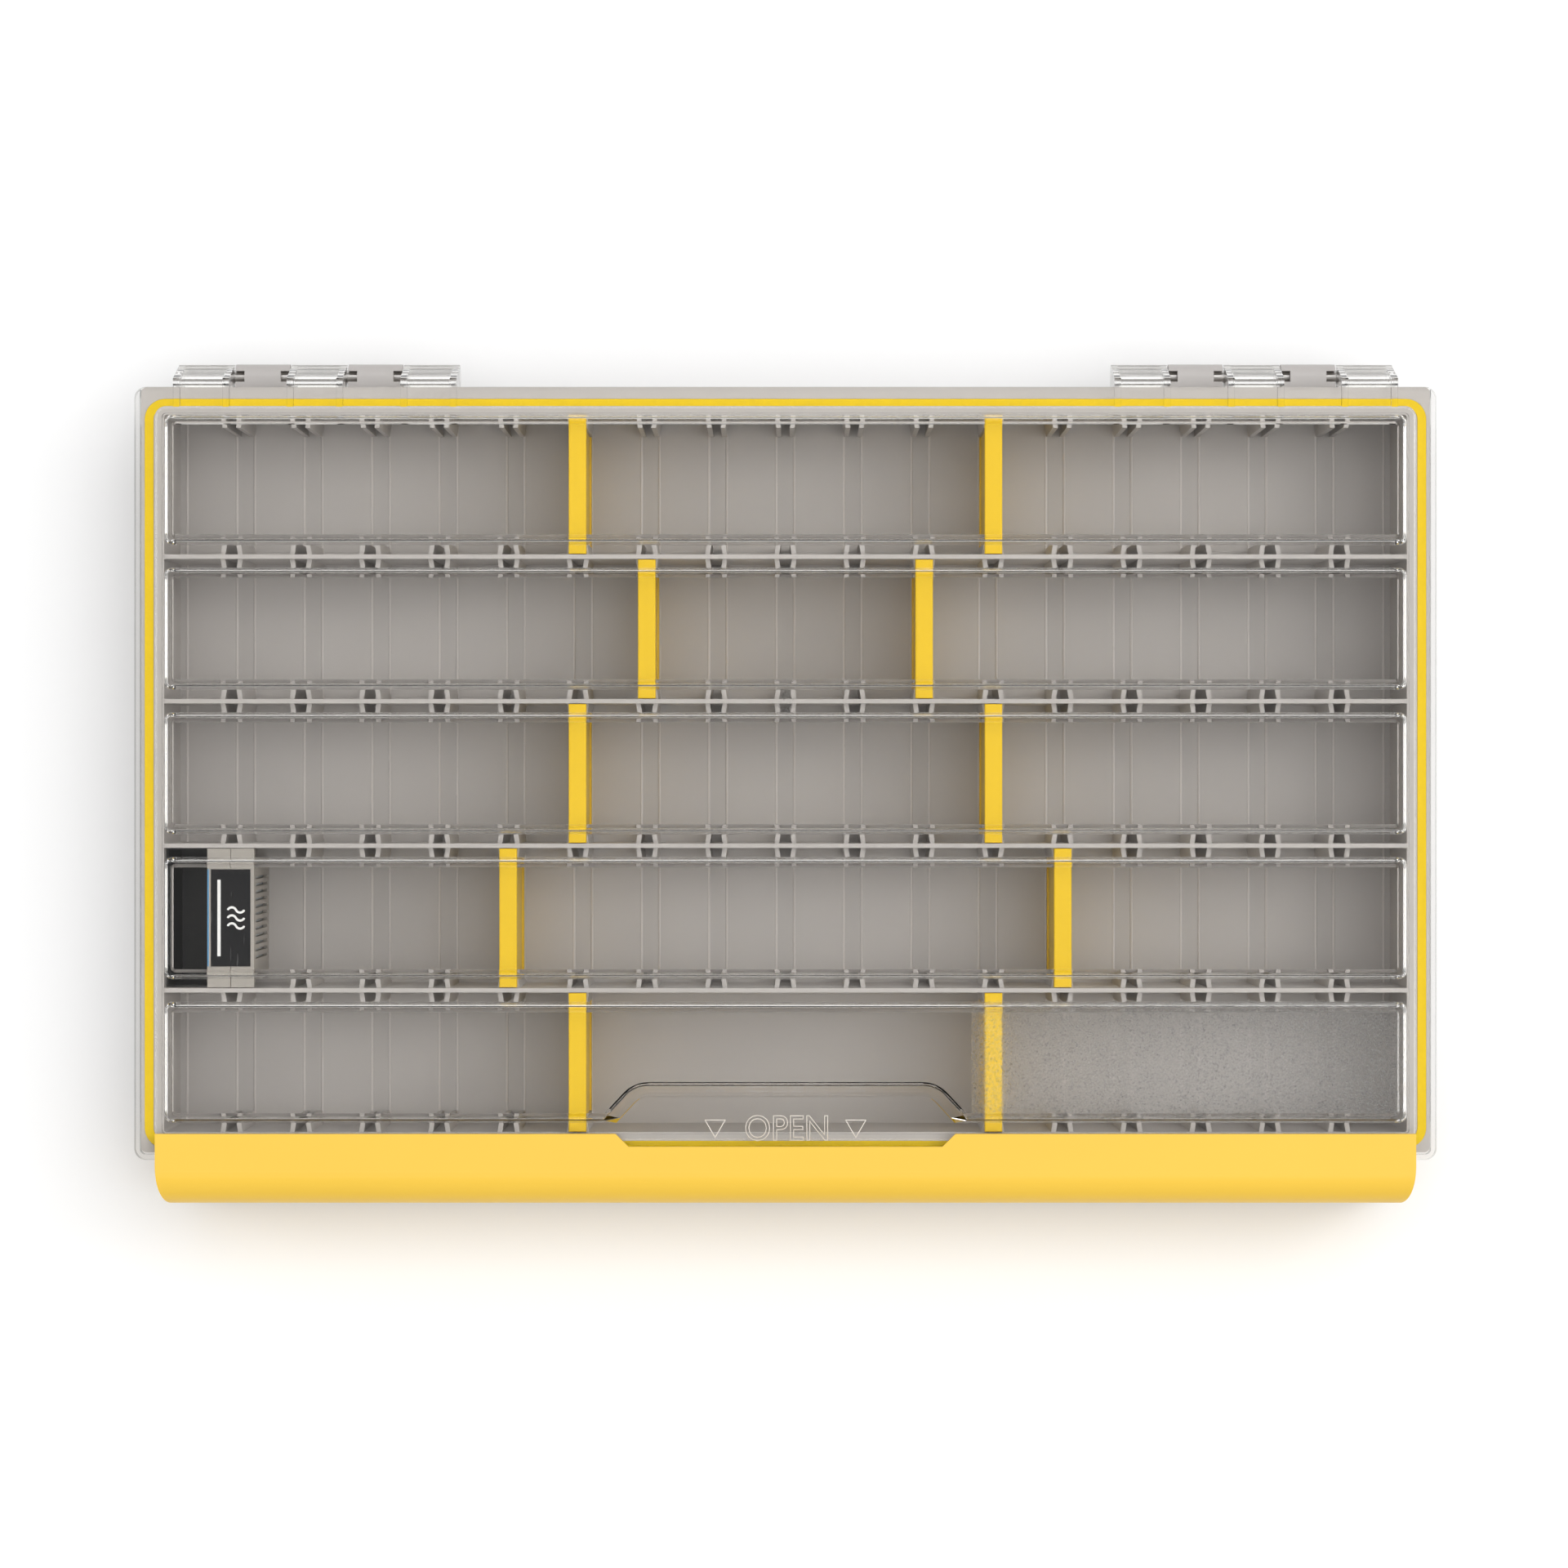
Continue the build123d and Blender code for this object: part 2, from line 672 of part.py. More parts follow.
def drier_half(side):
    """One moulded half of the drying divider's case, open towards the other half."""
    inner = side * drier_parting / 2
    outer = side * drier_width / 2
    middle = drier_x + (inner + outer) / 2
    width = abs(outer - inner)
    tongue_half = rib_gap / 2 - divider_rib_gap
    with BuildPart() as half:
        with BuildSketch(Plane.XY.offset(drier_base)):
            with Locations((middle, drier_y)):
                Rectangle(width, divider_body)
            with Locations((drier_x, drier_y)):
                Polygon(tongue_outline(-1))
                Polygon(tongue_outline(1))
            with Locations((drier_x + inner - side * tongue_half, drier_y)):
                Rectangle(2 * tongue_half, cell_width, mode=Mode.SUBTRACT)
        extrude(amount=divider_cap_bottom - drier_base)
        with BuildSketch(Plane.XY.offset(divider_cap_bottom)):
            with Locations((middle, drier_y)):
                Rectangle(width, divider_cap_length)
        extrude(amount=divider_cap_top - divider_cap_bottom)
        fillet(half.faces().sort_by(Axis.Z)[-1].edges(), drier_round)
        hollow_length = divider_body - 2 * drier_wall
        with BuildSketch(Plane.XY.offset(drier_base + drier_wall)):
            with Locations((middle - side * drier_wall, drier_y)):
                Rectangle(width, hollow_length)
        extrude(amount=divider_cap_bottom - drier_base - drier_wall, mode=Mode.SUBTRACT)
        with BuildSketch(Plane.XY.offset(divider_cap_top - drier_label_depth)):
            with Locations((drier_x, drier_y)):
                Rectangle(drier_label_width, drier_label_length)
        extrude(amount=drier_label_depth, mode=Mode.SUBTRACT)
        if side > 0:
            vent_height = drier_height - 2 * vent_margin
            with BuildSketch(Plane.YZ.offset(drier_x + outer)):
                with Locations((drier_y, drier_base + drier_height / 2)):
                    with GridLocations(vent_pitch, 0, vent_count, 1):
                        SlotOverall(vent_height, vent_width, rotation=90)
            extrude(amount=-drier_wall, mode=Mode.SUBTRACT)
    return half.part


drier_case_left = drier_half(-1)
drier_case_left.label = "drier_case_left"
drier_case_right = drier_half(1)
drier_case_right.label = "drier_case_right"

# Block of drying agent inside the case
with BuildPart() as drier_block:
    block_inset = drier_wall + drier_fill_gap
    with BuildSketch(Plane.XY.offset(drier_base + drier_wall)):
        with Locations((drier_x, drier_y)):
            Rectangle(drier_width - 2 * block_inset, divider_body - 2 * block_inset)
    extrude(amount=divider_cap_bottom - drier_base - drier_wall - drier_fill_gap)
drier_block.part.label = "drier_block"

# Labels of the drying divider
with BuildPart() as drier_top_label:
    with BuildSketch(Plane.XY.offset(divider_cap_top - drier_label_depth)):
        with Locations((drier_x, drier_y)):
            Rectangle(drier_label_width - 2 * label_slack, drier_label_length - 2 * label_slack)
    extrude(amount=drier_label_depth)
drier_top_label.part.label = "drier_top_label"

with BuildPart() as drier_side_label:
    with BuildSketch(Plane.YZ.offset(drier_x - drier_width / 2)):
        with Locations((drier_y, drier_base + drier_height / 2)):
            Rectangle(drier_side_label_length, drier_side_label_height)
    extrude(amount=-side_label_thickness)
drier_side_label.part.label = "drier_side_label"

# Write every piece to its own file
pieces = [
    *tray_pieces,
    *row_walls,
    gasket.part,
    lid.part,
    hinge_pin_left,
    hinge_pin_right,
    latch.part,
    *latch_pins.values(),
    *dividers.values(),
    drier_case_left,
    drier_case_right,
    drier_block.part,
    drier_top_label.part,
    drier_side_label.part,
]
os.makedirs("parts", exist_ok=True)
for piece in pieces:
    export_step(piece, f"parts/{piece.label}.step")
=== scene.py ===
"""Finishes, small details, studio and camera for a flat tackle box with a clear lid.

The box comes in as fixed parts, in metres: X runs along it, -Y is the latch side, +Y the
hinge side, and it rests on z = 0.
"""
import logging
import math
from dataclasses import dataclass
from enum import Enum
from typing import Callable, Protocol, Union

import bmesh
import bpy
from mathutils import Matrix, Vector


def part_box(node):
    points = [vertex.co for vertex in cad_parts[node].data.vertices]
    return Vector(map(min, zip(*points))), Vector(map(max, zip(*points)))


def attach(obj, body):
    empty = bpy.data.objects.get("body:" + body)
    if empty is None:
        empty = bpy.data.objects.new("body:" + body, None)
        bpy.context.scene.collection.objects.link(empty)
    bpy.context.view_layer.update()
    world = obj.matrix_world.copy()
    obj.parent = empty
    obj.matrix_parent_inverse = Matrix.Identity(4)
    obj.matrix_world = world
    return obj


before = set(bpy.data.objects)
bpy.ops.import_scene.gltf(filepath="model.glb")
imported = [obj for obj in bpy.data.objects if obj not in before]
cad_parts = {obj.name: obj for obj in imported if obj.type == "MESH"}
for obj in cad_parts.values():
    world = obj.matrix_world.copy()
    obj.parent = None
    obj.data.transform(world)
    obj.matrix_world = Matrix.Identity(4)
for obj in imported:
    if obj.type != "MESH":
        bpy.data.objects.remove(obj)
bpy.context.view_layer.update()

LOG = logging.getLogger("tackle_box")

Colour = tuple[float, float, float]
Point = tuple[float, float, float]
Span = tuple[float, float]
Term = Union["ShaderValue", float]
Input = Union["ShaderValue", bpy.types.NodeSocket, float, Colour]


@dataclass(frozen=True)
class Grain:
    """A kind of noise.

    Its numbers are lumps a metre, octaves of finer noise and their strength, factors on X, Y
    and Z that draw the lumps out where they are under 1, and where its spots start and end.
    """

    scale: float
    detail: float = 2.0
    rough: float = 0.5
    stretch: Point = (1.0, 1.0, 1.0)
    span: Span = (0.0, 1.0)


class ShaderValue:
    """A shader socket that Python's operators turn into Math nodes."""

    def __init__(self, graph: "MaterialGraph", socket: bpy.types.NodeSocket) -> None:
        """Keep the socket and the graph that it belongs to."""
        self.graph = graph
        self.socket = socket

    def _math(
        self, operation: str, first: Term, second: Term | None = None
    ) -> "ShaderValue":
        """Add one Math node.

        Args:
            operation: the Math node's operation.
            first: a number or a ShaderValue.
            second: a number or a ShaderValue, or None where the operation takes one value.

        Returns:
            The node's result.
        """
        values = {0: first} if second is None else {0: first, 1: second}
        node = self.graph.node("ShaderNodeMath", {"operation": operation}, values)
        return self.graph.out(node, "Value")

    def __add__(self, other: Term) -> "ShaderValue":
        """Return self + other."""
        return self._math("ADD", self, other)

    def __radd__(self, other: Term) -> "ShaderValue":
        """Return other + self."""
        return self._math("ADD", other, self)

    def __sub__(self, other: Term) -> "ShaderValue":
        """Return self - other."""
        return self._math("SUBTRACT", self, other)

    def __rsub__(self, other: Term) -> "ShaderValue":
        """Return other - self."""
        return self._math("SUBTRACT", other, self)

    def __mul__(self, other: Term) -> "ShaderValue":
        """Return self * other."""
        return self._math("MULTIPLY", self, other)

    def __rmul__(self, other: Term) -> "ShaderValue":
        """Return other * self."""
        return self._math("MULTIPLY", other, self)

    def __abs__(self) -> "ShaderValue":
        """Return the size of self."""
        return self._math("ABSOLUTE", self)

    def most(self, other: Term) -> "ShaderValue":
        """Return the larger of self and other."""
        return self._math("MAXIMUM", self, other)

    def fold(self, pitch: float) -> "ShaderValue":
        """Return the distance from self to the nearest multiple of pitch."""
        return self._math("PINGPONG", self, pitch / 2)

    def step(self, low: float, high: float) -> "ShaderValue":
        """Return a smooth step that is 0 at low and 1 at high, in either order."""
        node = self.graph.node(
            "ShaderNodeMapRange",
            {"interpolation_type": "SMOOTHSTEP", "clamp": True},
            {"Value": self, "From Min": low, "From Max": high, "To Min": 0.0, "To Max": 1.0},
        )
        return self.graph.out(node, "Result")

    def between(self, low: float, high: float, soft: float) -> "ShaderValue":
        """Return 1 between low and high, falling to 0 over soft outside them."""
        return self.step(low - soft, low) * self.step(high + soft, high)


def scaled(colour: Colour, factor: float) -> Colour:
    """Return a colour times a factor."""
    return tuple(min(1.0, part * factor) for part in colour)


class MaterialGraph:
    """The node tree of one material, with a short way to add and link nodes."""

    def __init__(self, name: str) -> None:
        """Start a material with an empty tree.

        Args:
            name: the material's name.
        """
        self.material = bpy.data.materials.new(name)
        self.material.use_nodes = True
        self.tree = self.material.node_tree
        self.tree.nodes.clear()

    @classmethod
    def of_world(cls, world: bpy.types.World) -> "MaterialGraph":
        """Start an empty tree that belongs to a world instead of a material.

        Args:
            world: the world.

        Returns:
            The world's graph, which has no material.
        """
        graph = cls.__new__(cls)
        world.use_nodes = True
        graph.material = None
        graph.tree = world.node_tree
        graph.tree.nodes.clear()
        return graph

    def node(
        self, kind: str, settings: dict[str, object] | None = None,
        values: dict[str | int, Input] | None = None,
    ) -> bpy.types.Node:
        """Add a node, set its settings first and then its inputs.

        Args:
            kind: the node's type.
            settings: attributes of the node, such as a Math node's operation.
            values: a number, colour, socket or ShaderValue for inputs, by name or index.

        Returns:
            The new node.
        """
        node = self.tree.nodes.new(kind)
        for key, value in (settings or {}).items():
            setattr(node, key, value)
        for key, value in (values or {}).items():
            self.feed(node.inputs[key], value)
        return node

    def feed(self, socket: bpy.types.NodeSocket, value: Input) -> None:
        """Set an input's value, or link it to a socket or a ShaderValue.

        Args:
            socket: the input.
            value: a number, colour, socket or ShaderValue.
        """
        if isinstance(value, ShaderValue):
            value = value.socket
        if isinstance(value, bpy.types.NodeSocket):
            self.tree.links.new(value, socket)
            return
        if socket.type == "RGBA" and len(value) == 3:
            value = (*value, 1.0)
        socket.default_value = value

    def out(self, node: bpy.types.Node, name: str) -> ShaderValue:
        """Wrap one of a node's outputs."""
        return ShaderValue(self, node.outputs[name])

    def where(self) -> bpy.types.NodeSocket:
        """Return the Object coordinates, in metres."""
        return self.node("ShaderNodeTexCoord").outputs["Object"]

    def split(self, vector: bpy.types.NodeSocket) -> tuple[ShaderValue, ShaderValue, ShaderValue]:
        """Return a vector's X, Y and Z."""
        node = self.node("ShaderNodeSeparateXYZ", values={"Vector": vector})
        return self.out(node, "X"), self.out(node, "Y"), self.out(node, "Z")

    def noise(self, where: bpy.types.NodeSocket, grain: Grain) -> ShaderValue:
        """Return noise from 0 to 1.

        Args:
            where: coordinates to read.
            grain: the kind of noise.

        Returns:
            The noise value.
        """
        mapped = self.node(
            "ShaderNodeMapping", {"vector_type": "POINT"},
            {"Vector": where, "Scale": grain.stretch},
        )
        noise = self.node("ShaderNodeTexNoise", values={
            "Vector": mapped.outputs["Vector"], "Scale": grain.scale, "Detail": grain.detail,
            "Roughness": grain.rough,
        })
        return self.out(noise, "Fac")

    def spots(self, where: bpy.types.NodeSocket, grain: Grain) -> ShaderValue:
        """Return noise that steps from 0 to 1 over the grain's span."""
        return self.noise(where, grain).step(*grain.span)

    def blend(self, share: Term, first: Input, second: Input) -> bpy.types.NodeSocket:
        """Return a colour that goes from first to second with share.

        Args:
            share: 0 for the first colour, 1 for the second.
            first: a colour or a socket.
            second: a colour or a socket.

        Returns:
            The mixed colour.
        """
        factor, colour_a, colour_b, result = 0, 6, 7, 2
        mix = self.node("ShaderNodeMix", {"data_type": "RGBA"}, {
            factor: share, colour_a: first, colour_b: second,
        })
        return mix.outputs[result]

    def mottled(
        self, where: bpy.types.NodeSocket, flow: Grain, colour: Colour, swing: float
    ) -> bpy.types.NodeSocket:
        """Return a colour that drifts as plastic does where it flowed into its mould.

        Args:
            where: coordinates to read.
            flow: the kind of noise.
            colour: the middle colour.
            swing: how far it goes darker and lighter, as a share of the colour.

        Returns:
            The drifting colour.
        """
        return self.blend(
            self.spots(where, flow), scaled(colour, 1 - swing), scaled(colour, 1 + swing)
        )

    def either(
        self, share: Term, first: bpy.types.NodeSocket, second: bpy.types.NodeSocket
    ) -> bpy.types.NodeSocket:
        """Return a shader that goes from first to second with share.

        Args:
            share: 0 for the first shader, 1 for the second.
            first: a shader.
            second: a shader.

        Returns:
            The mixed shader.
        """
        factor, shader_a, shader_b = 0, 1, 2
        mix = self.node("ShaderNodeMixShader", values={
            factor: share, shader_a: first, shader_b: second,
        })
        return mix.outputs["Shader"]

    def bump(self, height: ShaderValue, depth: float) -> bpy.types.NodeSocket:
        """Return a normal bumped by height, where 1 stands depth metres up."""
        node = self.node(
            "ShaderNodeBump", values={"Strength": 1.0, "Distance": depth, "Height": height}
        )
        return node.outputs["Normal"]

    def principled(self, values: dict[str | int, Input]) -> bpy.types.NodeSocket:
        """Return a Principled shader with these inputs."""
        return self.node("ShaderNodeBsdfPrincipled", values=values).outputs["BSDF"]

    def finish(self, shader: bpy.types.NodeSocket) -> bpy.types.Material:
        """Link the shader to the output and return the material."""
        self.node("ShaderNodeOutputMaterial", values={"Surface": shader})
        return self.material


class Texture(Enum):
    """Mould textures: their noise and its depth in metres."""

    SATIN = (Grain(4200.0, rough=0.6), 0.000012)
    SPARKED = (Grain(2600.0, rough=0.6), 0.00003)


@dataclass(frozen=True)
class MouldedPlastic:
    """Opaque moulded plastic with faint flow mottling, scuffs and a mould texture."""

    name: str
    colour: Colour
    roughness: float
    texture: Texture
    mottle: float = 0.06
    worn: float = 0.08
    gloss: float = 0.5
    flow: Grain = Grain(18.0, 3.0, 0.55, (0.35, 1.0, 1.0), (0.3, 0.7))
    scuff: Grain = Grain(260.0, 4.0, 0.7, (1.0, 0.25, 1.0), (0.62, 0.75))
    scuff_share: float = 0.25
    grain_swing: float = 0.12

    def build(self) -> bpy.types.Material:
        """Make the material.

        Returns:
            The new material.
        """
        graph = MaterialGraph(self.name)
        where = graph.where()
        mould, depth = self.texture.value
        grain = graph.noise(where, mould)
        scuff = graph.spots(where, self.scuff)
        base = graph.mottled(where, self.flow, self.colour, self.mottle)
        rubbed = scaled(self.colour, 1 + 2 * self.mottle)
        shader = graph.principled({
            "Base Color": graph.blend(scuff * self.scuff_share, base, rubbed),
            "Roughness": self.roughness + (grain - 0.5) * self.grain_swing + scuff * self.worn,
            "Normal": graph.bump(grain, depth),
            "Specular IOR Level": self.gloss,
        })
        return graph.finish(shader)


@dataclass(frozen=True)
class TrayPlastic:
    """Grey moulded plastic with fine ridges beside the divider slots on the floor, bumped and
    painted lighter as a painted highlight.
    """

    name: str
    colour: Colour
    pitch: float
    line_from_slot: float
    line_width: float
    floor_height: float
    bare_front: Span
    roughness: float = 0.4
    ior: float = 1.49
    texture: Texture = Texture.SATIN
    flow: Grain = Grain(14.0, 3.0, 0.55, (0.35, 1.0, 1.0), (0.3, 0.7))
    scuff: Grain = Grain(240.0, 4.0, 0.7, (1.0, 0.2, 1.0), (0.6, 0.75))
    mottle: float = 0.04
    scuff_share: float = 0.2
    scuff_tint: float = 1.15
    strip_share: float = 0.3
    strip_tint: float = 0.86
    # painted highlight: how much of the lighter colour the ridges get, and how light it is
    ridge_highlight_share: float = 0.8
    ridge_highlight_tint: float = 1.42
    grain_swing: float = 0.12
    worn: float = 0.06
    bare_soft: float = 0.001
    above_floor: Span = (0.0006, 0.0002)
    below_floor: Span = (-0.0012, -0.0008)
    ridge_height: float = 0.00015
    grain_height: float = 0.08

    def build(self) -> bpy.types.Material:
        """Make the material.

        Returns:
            The new material.
        """
        graph = MaterialGraph(self.name)
        where = graph.where()
        across, along, up = graph.split(where)
        mould, _ = self.texture.value
        grain = graph.noise(where, mould)
        scuff = graph.spots(where, self.scuff)
        line, strip = self._beside_slots(across)
        floor = self._floor(across, along, up)
        ridge = line * floor
        base = graph.mottled(where, self.flow, self.colour, self.mottle)
        base = graph.blend(
            strip * floor * self.strip_share, base, scaled(self.colour, self.strip_tint)
        )
        # painted highlight: the ridges are painted lighter, as their edges look in the light;
        # their bump is real
        base = graph.blend(ridge * self.ridge_highlight_share, base, scaled(self.colour, self.ridge_highlight_tint))
        rubbed = scaled(self.colour, self.scuff_tint)
        shader = graph.principled({
            "Base Color": graph.blend(scuff * self.scuff_share, base, rubbed),
            "Roughness": self.roughness + (grain - 0.5) * self.grain_swing + scuff * self.worn,
            "Normal": graph.bump(grain * self.grain_height + ridge, self.ridge_height),
            "IOR": self.ior,
        })
        return graph.finish(shader)

    def _beside_slots(self, across: ShaderValue) -> tuple[ShaderValue, ShaderValue]:
        """Find the ridges beside the slots and the strips between them.

        Args:
            across: X in metres.

        Returns:
            The mask of the ridges and the mask of the strips.
        """
        from_slot = across.fold(self.pitch)
        half = self.line_width / 2
        line = from_slot.between(self.line_from_slot - half, self.line_from_slot + half, half)
        return line, from_slot.step(self.line_from_slot, self.line_from_slot - self.line_width)

    def _floor(self, across: ShaderValue, along: ShaderValue, up: ShaderValue) -> ShaderValue:
        """Find the floor's upper face, without the bare field at the front.

        Args:
            across: X in metres.
            along: Y in metres.
            up: Z in metres.

        Returns:
            The mask of the ridged floor.
        """
        half_width, back = self.bare_front
        bare = along.step(back + self.bare_soft, back) * abs(across).step(
            half_width + self.bare_soft, half_width
        )
        above = up.step(*(self.floor_height + rise for rise in self.above_floor))
        below = up.step(*(self.floor_height + rise for rise in self.below_floor))
        return above * below * (1 - bare)


@dataclass(frozen=True)
class FrostedPatch:
    """A rectangle of the lid with a frosted surface, in metres."""

    low: Span
    high: Span
    soft: float
    roughness: float


@dataclass(frozen=True)
class ClearPlastic:
    """Clear glossy plastic with frosted patches that lets the lamps through."""

    name: str
    colour: Colour
    shade: Colour
    patches: tuple[FrostedPatch, ...]
    frost_height: float
    ior: float = 1.54
    scuff: Grain = Grain(420.0, 4.0, 0.7, (1.0, 0.3, 1.0), (0.69, 0.76))
    speckle: Grain = Grain(1500.0, 3.0, 0.7, span=(0.48, 0.64))
    worn: float = 0.05
    below_deck: Span = (-0.0006, -0.0002)
    speckle_swing: float = 0.4
    speckle_tint: float = 0.55
    scuff_height: float = 0.1
    depth: float = 0.00002

    def build(self) -> bpy.types.Material:
        """Make the material.

        Returns:
            The new material.
        """
        graph = MaterialGraph(self.name)
        where = graph.where()
        across, along, up = graph.split(where)
        scuff = graph.spots(where, self.scuff)
        speckle = graph.spots(where, self.speckle)
        roughness = scuff * self.worn
        uneven = 1 - self.speckle_swing / 2 + speckle * self.speckle_swing
        deck = up.step(*(self.frost_height + rise for rise in self.below_deck))
        frost: ShaderValue | None = None
        for patch in self.patches:
            inside = deck * across.between(patch.low[0], patch.high[0], patch.soft)
            inside = inside * along.between(patch.low[1], patch.high[1], patch.soft)
            roughness = roughness + inside * (patch.roughness * uneven)
            frost = inside if frost is None else frost.most(inside)
        dark = scaled(self.colour, self.speckle_tint)
        shader = graph.principled({
            "Base Color": graph.blend(frost * speckle, self.colour, dark),
            "Roughness": roughness,
            "IOR": self.ior,
            "Transmission Weight": 1.0,
            "Normal": graph.bump(frost * speckle + scuff * self.scuff_height, self.depth),
        })
        lamp = graph.node("ShaderNodeBsdfTransparent", values={"Color": self.shade})
        shadow = graph.out(graph.node("ShaderNodeLightPath"), "Is Shadow Ray")
        return graph.finish(graph.either(shadow, shader, lamp.outputs["BSDF"]))


@dataclass(frozen=True)
class RaisedLine:
    """A hair-thin moulded line on clear plastic, coloured pale and nearly opaque as a painted
    highlight where it catches the light.
    """

    name: str
    colour: Colour
    cover: float
    uneven: Grain = Grain(900.0, rough=0.6)
    dull_tint: float = 0.9
    roughness: float = 0.18
    roughness_swing: float = 0.1
    cover_swing: float = 0.4

    def build(self) -> bpy.types.Material:
        """Make the material.

        Returns:
            The new material.
        """
        graph = MaterialGraph(self.name)
        where = graph.where()
        uneven = graph.noise(where, self.uneven)
        # painted highlight: the line's colour drifts between a duller and a brighter pale
        dull = scaled(self.colour, self.dull_tint)
        shader = graph.principled({
            "Base Color": graph.blend(uneven, dull, self.colour),
            "Roughness": self.roughness + uneven * self.roughness_swing,
            "Alpha": self.cover * (1 - self.cover_swing / 2 + uneven * self.cover_swing),
        })
        return graph.finish(shader)


@dataclass(frozen=True)
class SealRubber:
    """Soft rubber with a dull skin and specks of dust."""

    name: str
    colour: Colour
    skin: Grain = Grain(900.0, 3.0, 0.6)
    dust: Grain = Grain(2100.0, 1.0, span=(0.7, 0.8))
    skin_tints: Span = (0.93, 1.05)
    dust_colour: Colour = (0.8, 0.76, 0.62)
    dust_share: float = 0.15
    roughness: float = 0.42
    roughness_swing: float = 0.16
    depth: float = 0.00002
    gloss: float = 0.15

    def build(self) -> bpy.types.Material:
        """Make the material.

        Returns:
            The new material.
        """
        graph = MaterialGraph(self.name)
        where = graph.where()
        skin = graph.noise(where, self.skin)
        dust = graph.spots(where, self.dust)
        base = graph.blend(skin, *(scaled(self.colour, tint) for tint in self.skin_tints))
        shader = graph.principled({
            "Base Color": graph.blend(dust * self.dust_share, base, self.dust_colour),
            "Roughness": self.roughness + skin * self.roughness_swing,
            "Normal": graph.bump(skin, self.depth),
            "Specular IOR Level": self.gloss,
        })
        return graph.finish(shader)


@dataclass(frozen=True)
class DrawnSteel:
    """Steel wire with drawing lines along X."""

    name: str
    colour: Colour
    lines: Grain = Grain(2600.0, 3.0, 0.7, (0.02, 1.0, 1.0))
    stain: Grain = Grain(140.0, 3.0, 0.6, span=(0.45, 0.75))
    stain_share: float = 0.4
    stain_tint: float = 0.6
    roughness: float = 0.22
    roughness_swing: float = 0.2
    depth: float = 0.000012

    def build(self) -> bpy.types.Material:
        """Make the material.

        Returns:
            The new material.
        """
        graph = MaterialGraph(self.name)
        where = graph.where()
        lines = graph.noise(where, self.lines)
        stain = graph.spots(where, self.stain)
        dark = scaled(self.colour, self.stain_tint)
        shader = graph.principled({
            "Base Color": graph.blend(stain * self.stain_share, self.colour, dark),
            "Roughness": self.roughness + lines * self.roughness_swing,
            "Metallic": 1.0,
            "Normal": graph.bump(lines, self.depth),
        })
        return graph.finish(shader)


@dataclass(frozen=True)
class GlossFilm:
    """A glossy printed film that has been rubbed on a little unevenly."""

    name: str
    colour: Colour
    wave: Grain = Grain(130.0)
    scratch: Grain = Grain(1400.0, 2.0, 0.6, (1.0, 0.06, 1.0), (0.66, 0.72))
    scratch_colour: Colour = (0.25, 0.25, 0.26)
    scratch_share: float = 0.1
    roughness: float = 0.1
    wave_swing: float = 0.08
    worn: float = 0.2
    depth: float = 0.00012
    ior: float = 1.5

    def build(self) -> bpy.types.Material:
        """Make the material.

        Returns:
            The new material.
        """
        graph = MaterialGraph(self.name)
        where = graph.where()
        wave = graph.noise(where, self.wave)
        scratch = graph.spots(where, self.scratch)
        share = scratch * self.scratch_share
        shader = graph.principled({
            "Base Color": graph.blend(share, self.colour, self.scratch_colour),
            "Roughness": self.roughness + wave * self.wave_swing + scratch * self.worn,
            "Normal": graph.bump(wave, self.depth),
            "IOR": self.ior,
        })
        return graph.finish(shader)


@dataclass(frozen=True)
class PressedGranules:
    """Pale granules pressed into a block, painted darker towards the gaps between them as painted
    shade.
    """

    name: str
    colour: Colour
    beads_a_metre: float = 900.0
    bead_span: Span = (0.2, 0.8)
    gap_shade_tint: float = 0.7
    roughness: float = 0.6
    roughness_swing: float = 0.2
    depth: float = 0.0002

    def build(self) -> bpy.types.Material:
        """Make the material.

        Returns:
            The new material.
        """
        graph = MaterialGraph(self.name)
        where = graph.where()
        cells = graph.node(
            "ShaderNodeTexVoronoi", values={"Vector": where, "Scale": self.beads_a_metre}
        )
        bead = graph.out(cells, "Distance")
        # painted shade: each granule darkens towards the gaps between granules, where its bump is
        # lowest
        edge = scaled(self.colour, self.gap_shade_tint)
        shader = graph.principled({
            "Base Color": graph.blend(bead.step(*self.bead_span), self.colour, edge),
            "Roughness": self.roughness + bead * self.roughness_swing,
            "Normal": graph.bump(1 - bead, self.depth),
        })
        return graph.finish(shader)


@dataclass(frozen=True)
class PrintInk:
    """Flat screen-printed ink with a slight tooth."""

    name: str
    colour: Colour
    tooth: Grain = Grain(5200.0, rough=0.6)
    thin_tint: float = 0.94
    roughness: float = 0.3
    roughness_swing: float = 0.15

    def build(self) -> bpy.types.Material:
        """Make the material.

        Returns:
            The new material.
        """
        graph = MaterialGraph(self.name)
        where = graph.where()
        tooth = graph.noise(where, self.tooth)
        thin = scaled(self.colour, self.thin_tint)
        shader = graph.principled({
            "Base Color": graph.blend(tooth, thin, self.colour),
            "Roughness": self.roughness + tooth * self.roughness_swing,
        })
        return graph.finish(shader)


